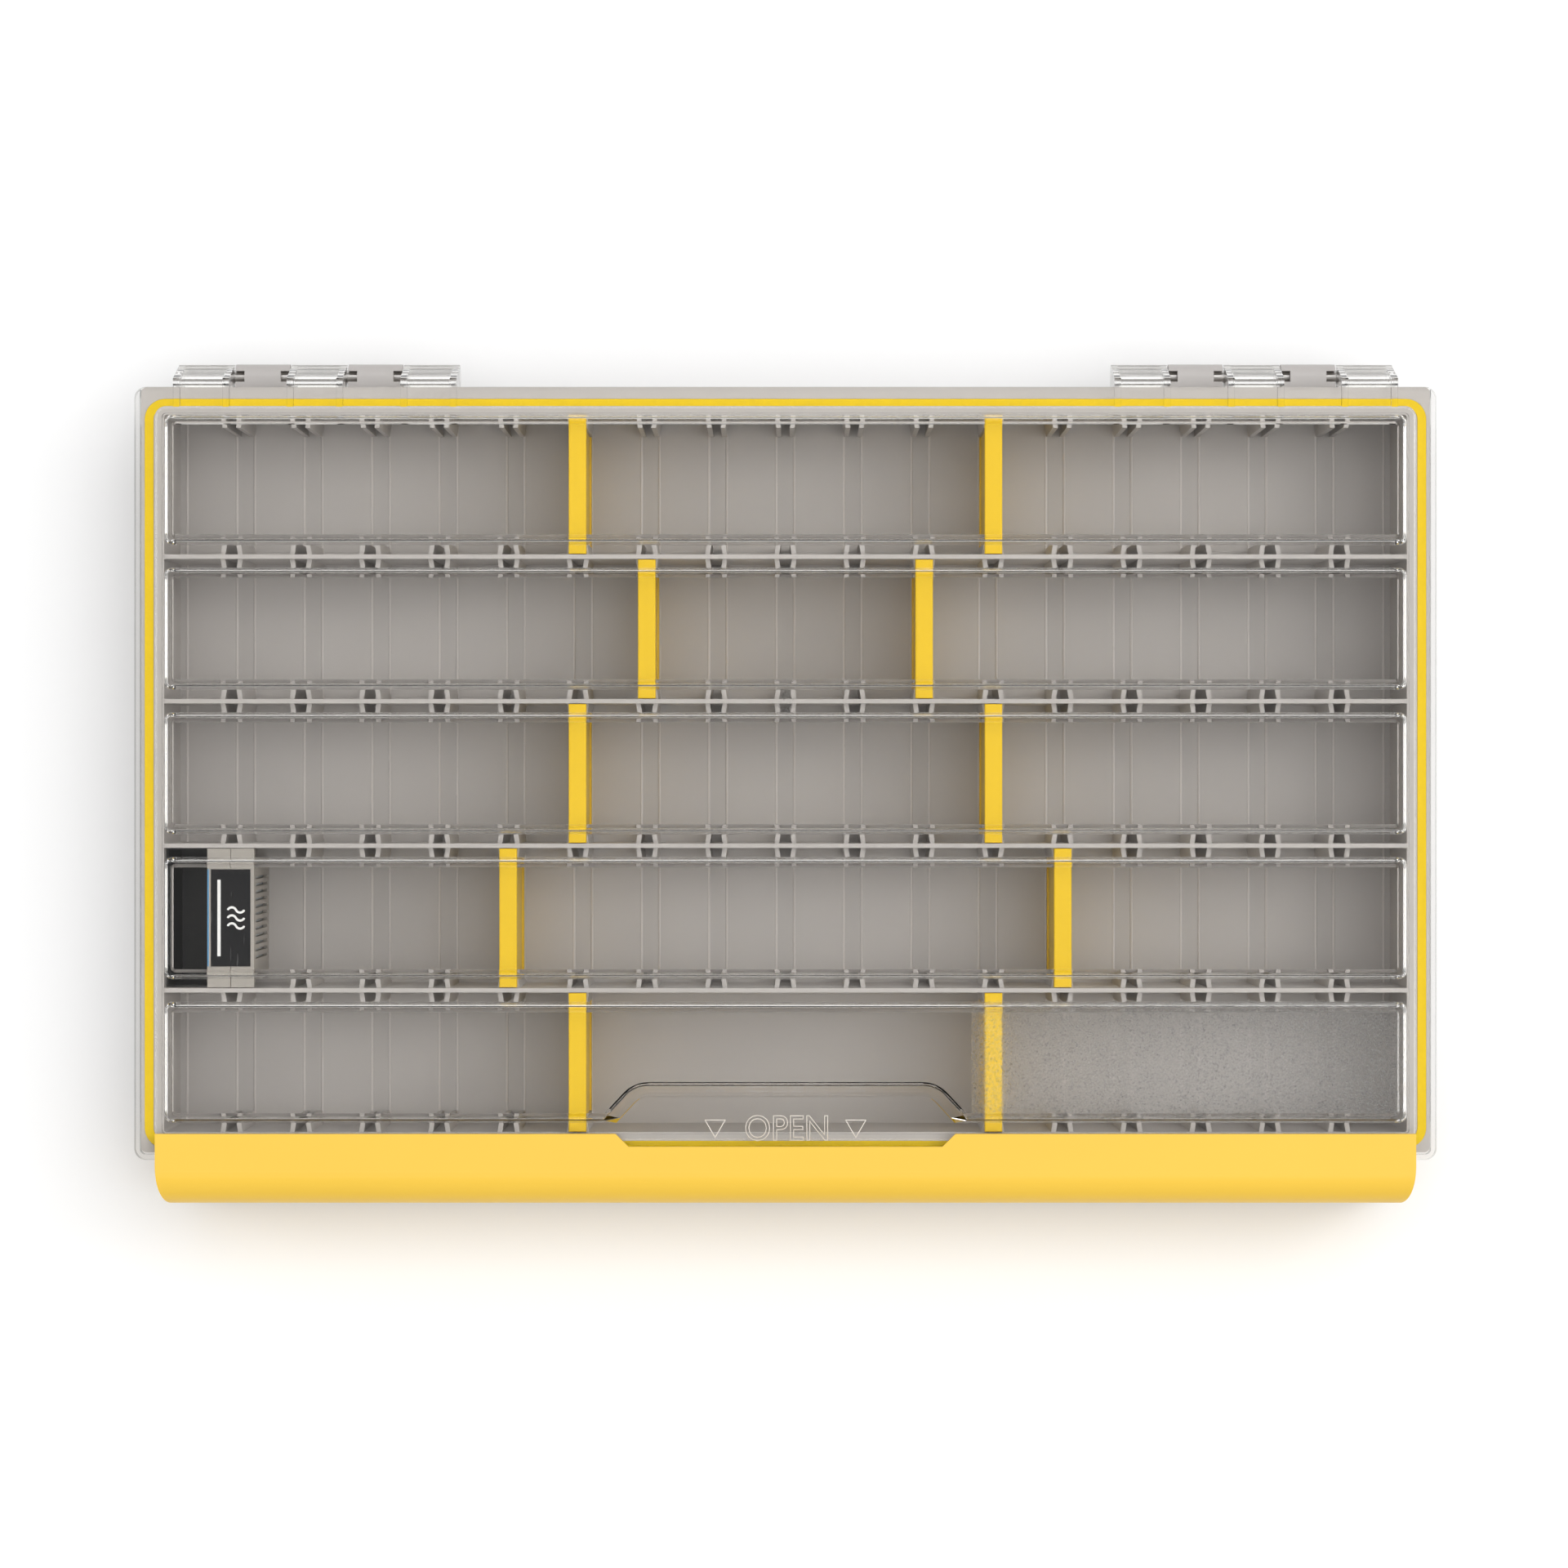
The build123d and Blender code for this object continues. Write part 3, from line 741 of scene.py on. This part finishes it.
@dataclass(frozen=True)
class PaleFloor:
    """A pale floor that reads as white, and keeps the box's shadow."""

    name: str
    colour: Colour = (0.9, 0.9, 0.9)
    lift: float = 0.03
    tooth: Grain = Grain(400.0)
    low_tint: float = 0.995

    def build(self) -> bpy.types.Material:
        """Make the material.

        Returns:
            The new material.
        """
        graph = MaterialGraph(self.name)
        where = graph.where()
        tooth = graph.noise(where, self.tooth)
        colour = graph.blend(tooth, scaled(self.colour, self.low_tint), self.colour)
        matt = graph.node("ShaderNodeBsdfDiffuse", values={"Color": colour}).outputs["BSDF"]
        glow = graph.node("ShaderNodeEmission", values={"Strength": self.lift})
        both = graph.node("ShaderNodeAddShader", values={0: matt, 1: glow.outputs["Emission"]})
        path = graph.node("ShaderNodeLightPath")
        seen = graph.out(path, "Is Camera Ray").most(graph.out(path, "Is Transmission Ray"))
        seen = seen.most(graph.out(path, "Is Glossy Ray"))
        return graph.finish(graph.either(seen, matt, both.outputs["Shader"]))


class Finish(Protocol):
    """What every finish can do."""

    def build(self) -> bpy.types.Material:
        """Make the material and return it."""


def dress(nodes: list[str], finish: Finish) -> None:
    """Give CAD nodes one finish.

    Args:
        nodes: names of the nodes.
        finish: their finish.
    """
    material = finish.build()
    for name in nodes:
        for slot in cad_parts[name].material_slots:
            slot.material = material
        LOG.info("%s wears %s", name, material.name)


def new_object(name: str, data: bpy.types.ID) -> bpy.types.Object:
    """Add an object that shows the data to the scene.

    Args:
        name: the object's name.
        data: its mesh, light or camera.

    Returns:
        The new object.
    """
    thing = bpy.data.objects.new(name, data)
    bpy.context.scene.collection.objects.link(thing)
    return thing


def new_mesh(name: str, shape: bmesh.types.BMesh, finish: Finish) -> bpy.types.Mesh:
    """Turn a bmesh into a mesh with a finish, and free the bmesh.

    Args:
        name: the mesh's name.
        shape: the bmesh.
        finish: the mesh's finish.

    Returns:
        The new mesh.
    """
    mesh = bpy.data.meshes.new(name)
    shape.to_mesh(mesh)
    shape.free()
    mesh.materials.append(finish.build())
    return mesh


def new_piece(
    name: str, shape: Callable[[bmesh.types.BMesh], None], finish: Finish, body: str,
) -> None:
    """Make a mesh piece that rides on a body.

    Args:
        name: the piece's name.
        shape: a function that fills the bmesh, with its place in its vertices.
        finish: the piece's finish.
        body: the body that the piece moves with.
    """
    shell = bmesh.new()
    shape(shell)
    bmesh.ops.recalc_face_normals(shell, faces=shell.faces[:])
    mesh = new_mesh(name, shell, finish)
    piece = new_object(name, mesh)
    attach(piece, body)
    LOG.info("%s made with %d faces", name, len(mesh.polygons))


def add_block(shape: bmesh.types.BMesh, foot: Vector, size: Point) -> None:
    """Add a block that stands on foot, the middle of its lower face.

    Args:
        shape: the bmesh to add to.
        foot: the middle of the block's lower face, in metres.
        size: its X, Y and Z sizes, in metres.
    """
    centre = foot + Vector((0, 0, size[2] / 2))
    place = Matrix.Translation(centre) @ Matrix.Diagonal((*size, 1.0))
    bmesh.ops.create_cube(shape, size=1.0, matrix=place)


@dataclass
class Tray:
    """The grey tray with its seal and pins."""

    slot_pitch: float = 0.01905
    channel_half: float = 0.0025
    ridge_width: float = 0.0004
    floor_top: float = 0.0022
    bare_front: Span = (0.047, -0.0601)
    colour: Colour = (0.457, 0.433, 0.418)
    rubber: SealRubber = SealRubber("seal_rubber", (0.76, 0.53, 0.004))
    steel: DrawnSteel = DrawnSteel("pin_steel", (0.56, 0.54, 0.52))

    def build(self) -> None:
        """Dress the tray, the seal and the pins."""
        moulding = [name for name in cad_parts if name.startswith(("tray_", "row_wall_"))]
        dress(moulding, TrayPlastic(
            "tray_grey", self.colour, self.slot_pitch, self.channel_half, self.ridge_width,
            self.floor_top, self.bare_front,
        ))
        dress(["gasket"], self.rubber)
        dress([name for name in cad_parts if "_pin_" in name], self.steel)


@dataclass
class Lid:
    """The clear lid with its frosted places and the marks on its finger scoop, which are coloured
    as painted highlight.
    """

    deck_top: float = 0.0468
    word_low: Span = (-0.0111, -0.1009)
    word_high: Span = (0.0117, -0.0937)
    line: float = 0.00011
    letter_steps: int = 4
    arrow_centre: Span = (0.0193, -0.0967)
    arrow_radius: float = 0.0034
    arrow_turn: float = math.pi
    tint: Colour = (0.985, 0.98, 0.965)
    shade: Colour = (0.9, 0.895, 0.885)
    patches: tuple[FrostedPatch, ...] = (
        FrostedPatch((0.051, -0.0947), (0.170, -0.0625), 0.0002, 0.14),
        FrostedPatch((-0.0019, 0.0168), (0.0019, 0.0228), 0.0008, 0.12),
    )
    # painted highlight: the raised marks are coloured pale where they would catch the light
    marks: RaisedLine = RaisedLine("mark_line_highlight", (0.86, 0.8, 0.72), 0.9)

    def build(self) -> None:
        """Dress the lid and add its marks."""
        dress(["lid"], ClearPlastic(
            "lid_clear", self.tint, self.shade, self.patches, self.deck_top
        ))
        new_piece("open_word", self._word, self.marks, "lid")
        new_piece("open_arrows", self._arrows, self.marks, "lid")

    def _word(self, shape: bmesh.types.BMesh) -> None:
        """Draw the word OPEN in thin outlines on the deck of the scoop.

        Args:
            shape: the empty bmesh to fill.
        """
        text = bpy.data.curves.new("open_word", "FONT")
        text.body = "OPEN"
        text.fill_mode = "NONE"
        text.resolution_u = self.letter_steps
        text.bevel_resolution = 0
        text.bevel_depth = self.line / (self.word_high[1] - self.word_low[1])
        holder = bpy.data.objects.new("open_word_curve", text)
        outline = bpy.data.meshes.new_from_object(holder)
        shape.from_mesh(outline)
        bpy.data.objects.remove(holder)
        bpy.data.curves.remove(text)
        bpy.data.meshes.remove(outline)
        low = [min(vert.co[axis] for vert in shape.verts) for axis in range(2)]
        high = [max(vert.co[axis] for vert in shape.verts) for axis in range(2)]
        stretch = [
            (self.word_high[axis] - self.word_low[axis]) / (high[axis] - low[axis])
            for axis in range(2)
        ]
        foot = Matrix.Translation((*self.word_low, self.deck_top))
        size = Matrix.Diagonal((*stretch, stretch[1], 1.0))
        start = Matrix.Translation((-low[0], -low[1], 0.0))
        bmesh.ops.transform(shape, matrix=foot @ size @ start, verts=shape.verts)

    def _arrows(self, shape: bmesh.types.BMesh) -> None:
        """Draw the outline of a triangle on each side of the word, pointing to the front.

        Args:
            shape: the empty bmesh to fill.
        """
        for side in (-1, 1):
            centre = Vector((side * self.arrow_centre[0], self.arrow_centre[1], self.deck_top))
            place = Matrix.Translation(centre) @ Matrix.Rotation(self.arrow_turn, 4, "Z")
            disc = bmesh.ops.create_circle(
                shape, cap_ends=True, segments=3, radius=self.arrow_radius, matrix=place
            )
            face = disc["verts"][0].link_faces[0]
            bmesh.ops.inset_region(
                shape, faces=[face], thickness=2 * self.line, use_boundary=True,
                use_even_offset=True,
            )
            bmesh.ops.delete(shape, geom=[face], context="FACES")
        bmesh.ops.solidify(shape, geom=shape.faces[:], thickness=-self.line)


@dataclass
class Latch:
    """The amber latch."""

    plastic: MouldedPlastic = MouldedPlastic(
        "latch_amber", (0.87, 0.55, 0.06), 0.36, Texture.SATIN, mottle=0.015, worn=0.05, gloss=0.3
    )

    def build(self) -> None:
        """Dress the latch."""
        dress(["latch"], self.plastic)


@dataclass
class Dividers:
    """The loose yellow dividers."""

    plastic: MouldedPlastic = MouldedPlastic(
        "divider_yellow", (0.79, 0.516, 0.006), 0.4, Texture.SATIN,
        mottle=0.03, worn=0.06, gloss=0.25,
    )

    def build(self) -> None:
        """Dress the dividers."""
        dress([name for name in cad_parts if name.startswith("divider_")], self.plastic)


@dataclass
class DryingDivider:
    """The drying divider's case, filling, labels and print, and a black open box of painted shade
    beside it.
    """

    bar_length: float = 0.021
    bar_width: float = 0.0009
    bar_from_edge: float = 0.0022
    wave_radius: float = 0.00125
    wave_half: float = 0.0003
    wave_pitch: float = 0.0022
    wave_turn: float = math.radians(130)
    wave_steps: int = 8
    wave_start: float = -0.0008
    print_height: float = 0.00004
    stripe_width: float = 0.00032
    stripe_from_edge: float = 0.0001
    shade_box_wall: float = 0.0003
    shade_box_gap: float = 0.0002
    wall_half: float = 0.0006
    shade_box_height: float = 0.037
    plastic: MouldedPlastic = MouldedPlastic(
        "drier_grey", (0.35, 0.325, 0.295), 0.42, Texture.SATIN
    )
    film: GlossFilm = GlossFilm("label_black", (0.008, 0.008, 0.009))
    granules: PressedGranules = PressedGranules("drier_fill", (0.75, 0.8, 0.85))
    ink: PrintInk = PrintInk("print_white", (0.85, 0.85, 0.84))
    edge: PrintInk = PrintInk("edge_blue", (0.02, 0.26, 0.55))
    # painted shade: near-black plastic for the open box that darkens the narrow end cell
    painted_shade: MouldedPlastic = MouldedPlastic(
        "painted_shade_black", (0.024, 0.023, 0.021), 0.4, Texture.SPARKED
    )

    def build(self) -> None:
        """Dress the case, the filling and the labels, then add print, stripe and the black box of
        painted shade.
        """
        dress(["drier_case_left", "drier_case_right"], self.plastic)
        dress(["drier_top_label", "drier_side_label"], self.film)
        dress(["drier_block"], self.granules)
        new_piece("label_print", self._print, self.ink, "tray")
        new_piece("label_edge_stripe", self._stripe, self.edge, "tray")
        # painted shade: a black open box stands in for the shade in the narrow end cell
        new_piece("end_cell_painted_shade", self._painted_shade_box, self.painted_shade, "tray")

    def _print(self, shape: bmesh.types.BMesh) -> None:
        """Print a bar and three waves, for rising damp, on the top label.

        Args:
            shape: the empty bmesh to fill.
        """
        low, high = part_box("drier_top_label")
        middle = (low + high) / 2
        foot = Vector((low.x + self.bar_from_edge, middle.y, high.z))
        add_block(shape, foot, (self.bar_width, self.bar_length, self.print_height))
        for index in (-1, 0, 1):
            self._wave(shape, Vector((
                middle.x + self.wave_start, middle.y + index * self.wave_pitch,
                high.z + self.print_height,
            )))

    def _wave(self, shape: bmesh.types.BMesh, start: Vector) -> None:
        """Spin a short edge through two arcs that bend opposite ways, then thicken the strip.

        Args:
            shape: the bmesh to add to.
            start: the middle of the wave's first end, in metres.
        """
        known = set(shape.faces)
        across = Matrix.Rotation(self.wave_turn / 2, 3, "Z") @ Vector((0, 1, 0))
        ends = [
            shape.verts.new(start + across * reach) for reach in (-self.wave_half, self.wave_half)
        ]
        edge = [*ends, shape.edges.new(ends)]
        for side in (-1, 1):
            places = [item.co for item in edge if isinstance(item, bmesh.types.BMVert)]
            middle = (places[0] + places[1]) / 2
            spun = bmesh.ops.spin(
                shape, geom=edge, cent=middle + across * self.wave_radius * side, axis=(0, 0, 1),
                angle=self.wave_turn * side, steps=self.wave_steps,
            )
            edge = [item for item in spun["geom_last"] if not isinstance(item, bmesh.types.BMFace)]
            across = Matrix.Rotation(self.wave_turn * side, 3, "Z") @ across
        strip = [face for face in shape.faces if face not in known]
        bmesh.ops.recalc_face_normals(shape, faces=strip)
        bmesh.ops.solidify(shape, geom=strip, thickness=self.print_height)

    def _stripe(self, shape: bmesh.types.BMesh) -> None:
        """Lay a thin stripe along the left top edge of the case.

        Args:
            shape: the empty bmesh to fill.
        """
        low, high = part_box("drier_case_left")
        label_low, label_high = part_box("drier_top_label")
        middle = (label_low + label_high) / 2
        across = low.x + self.stripe_from_edge + self.stripe_width / 2
        size = (self.stripe_width, label_high.y - label_low.y, self.print_height * 2)
        add_block(shape, Vector((across, middle.y, high.z)), size)

    def _painted_shade_box(self, shape: bmesh.types.BMesh) -> None:
        """Set a thin black open box into the narrow cell at the end of the row, as painted shade
        for the dark cell.

        Args:
            shape: the empty bmesh to fill.
        """
        back_low, back_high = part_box("row_wall_3")
        front_low, front_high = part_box("row_wall_4")
        label_low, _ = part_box("drier_side_label")
        inset = self.wall_half + self.shade_box_gap
        low = Vector((
            back_low.x + self.shade_box_gap, (front_low.y + front_high.y) / 2 + inset,
            back_low.z + self.shade_box_gap,
        ))
        high = Vector((
            label_low.x - self.shade_box_gap, (back_low.y + back_high.y) / 2 - inset,
            self.shade_box_height,
        ))
        size = high - low
        add_block(shape, (low + high) / 2 - Vector((0, 0, size.z / 2)), tuple(size))
        top = max(shape.faces, key=lambda face: face.calc_center_median().z)
        bmesh.ops.delete(shape, geom=[top], context="FACES")
        bmesh.ops.recalc_face_normals(shape, faces=shape.faces[:])
        bmesh.ops.solidify(shape, geom=shape.faces[:], thickness=self.shade_box_wall)


@dataclass(frozen=True)
class SoftLamp:
    """A square soft light that faces the middle of the box, in metres and watts."""

    name: str
    place: Point
    size: float
    power: float

    def build(self) -> None:
        """Hang the lamp."""
        light = bpy.data.lights.new(self.name, "AREA")
        light.shape = "SQUARE"
        light.size = self.size
        light.energy = self.power
        lamp = new_object(self.name, light)
        lamp.location = self.place
        lamp.rotation_euler = (-Vector(self.place)).to_track_quat("-Z", "Y").to_euler()


@dataclass
class Studio:
    """Floor, soft lights and the overhead camera of the product picture."""

    lens: float = 123.02
    eye: Point = (-0.0004, -0.0029, 1.517)
    clip_end: float = 20.0
    floor_size: float = 6.0
    ambient: float = 0.18
    panel: float = 2.4
    panel_heading: Point = (0.2, 0.09, 0.9756)
    panel_cosines: Span = (0.82, 0.88)
    ring: float = 0.55
    ring_heights: Span = (0.3, 0.7)
    ring_soft: float = 0.08
    gleam: float = 2.6
    gleam_edges: Span = (0.3, 0.2)
    hood: float = 0.93
    hood_cosines: Span = (0.96, 0.972)
    lamps: tuple[SoftLamp, ...] = (
        SoftLamp("key", (0.95, 0.3, 1.0), 0.4, 2.0),
        SoftLamp("fill", (-0.95, 0.2, 1.0), 0.35, 0.9),
    )

    def build(self) -> None:
        """Make the floor, the lights and the camera."""
        self._floor()
        self._world()
        for lamp in self.lamps:
            lamp.build()
        self._camera()

    def _floor(self) -> None:
        """Make the floor plane."""
        sheet = bmesh.new()
        bmesh.ops.create_grid(sheet, x_segments=1, y_segments=1, size=self.floor_size / 2)
        new_object("floor", new_mesh("floor", sheet, PaleFloor("floor_pale")))

    def _world(self) -> None:
        """Light from a soft panel overhead and a ring below it, with a hood round the lens.

        The hood and two bright strips show only in what is mirrored straight to the camera.
        """
        world = bpy.data.worlds.new("studio")
        bpy.context.scene.world = world
        graph = MaterialGraph.of_world(world)
        path = graph.node("ShaderNodeLightPath")
        seen = graph.out(path, "Is Camera Ray")
        mirror = graph.out(path, "Is Glossy Ray").most(graph.out(path, "Is Transmission Ray"))
        first = mirror * graph.out(path, "Diffuse Depth").step(1.0, 0.0)
        heading = graph.node("ShaderNodeTexCoord").outputs["Generated"]
        _, along, up = graph.split(heading)
        toward = graph.node("ShaderNodeVectorMath", {"operation": "DOT_PRODUCT"}, {
            0: heading, 1: self.panel_heading,
        })
        panel = graph.out(toward, "Value").step(*self.panel_cosines)
        ring = up.between(*self.ring_heights, self.ring_soft)
        strips = abs(along).step(*self.gleam_edges)
        gleam = ring * strips * first * self.gleam
        hood = up.step(*self.hood_cosines) * first * self.hood
        level = (self.ambient + panel * self.panel + ring * self.ring + gleam) * (1 - hood)
        back = graph.node("ShaderNodeBackground", values={
            "Color": (1.0, 1.0, 1.0), "Strength": seen + (1 - seen) * level,
        })
        graph.node("ShaderNodeOutputWorld", values={"Surface": back.outputs["Background"]})

    def _camera(self) -> None:
        """Set the camera straight above the box."""
        lens = bpy.data.cameras.new("overhead")
        lens.lens = self.lens
        lens.clip_end = self.clip_end
        camera = new_object("overhead", lens)
        camera.location = self.eye
        bpy.context.scene.camera = camera


def main() -> None:
    """Dress the box, then set up the studio."""
    logging.basicConfig(level=logging.INFO, format="%(message)s")
    bpy.context.scene.view_settings.view_transform = "Standard"
    for part in (Tray(), Lid(), Latch(), Dividers(), DryingDivider(), Studio()):
        part.build()
        LOG.info("%s is done", type(part).__name__)


if __name__ == "__main__":
    main()
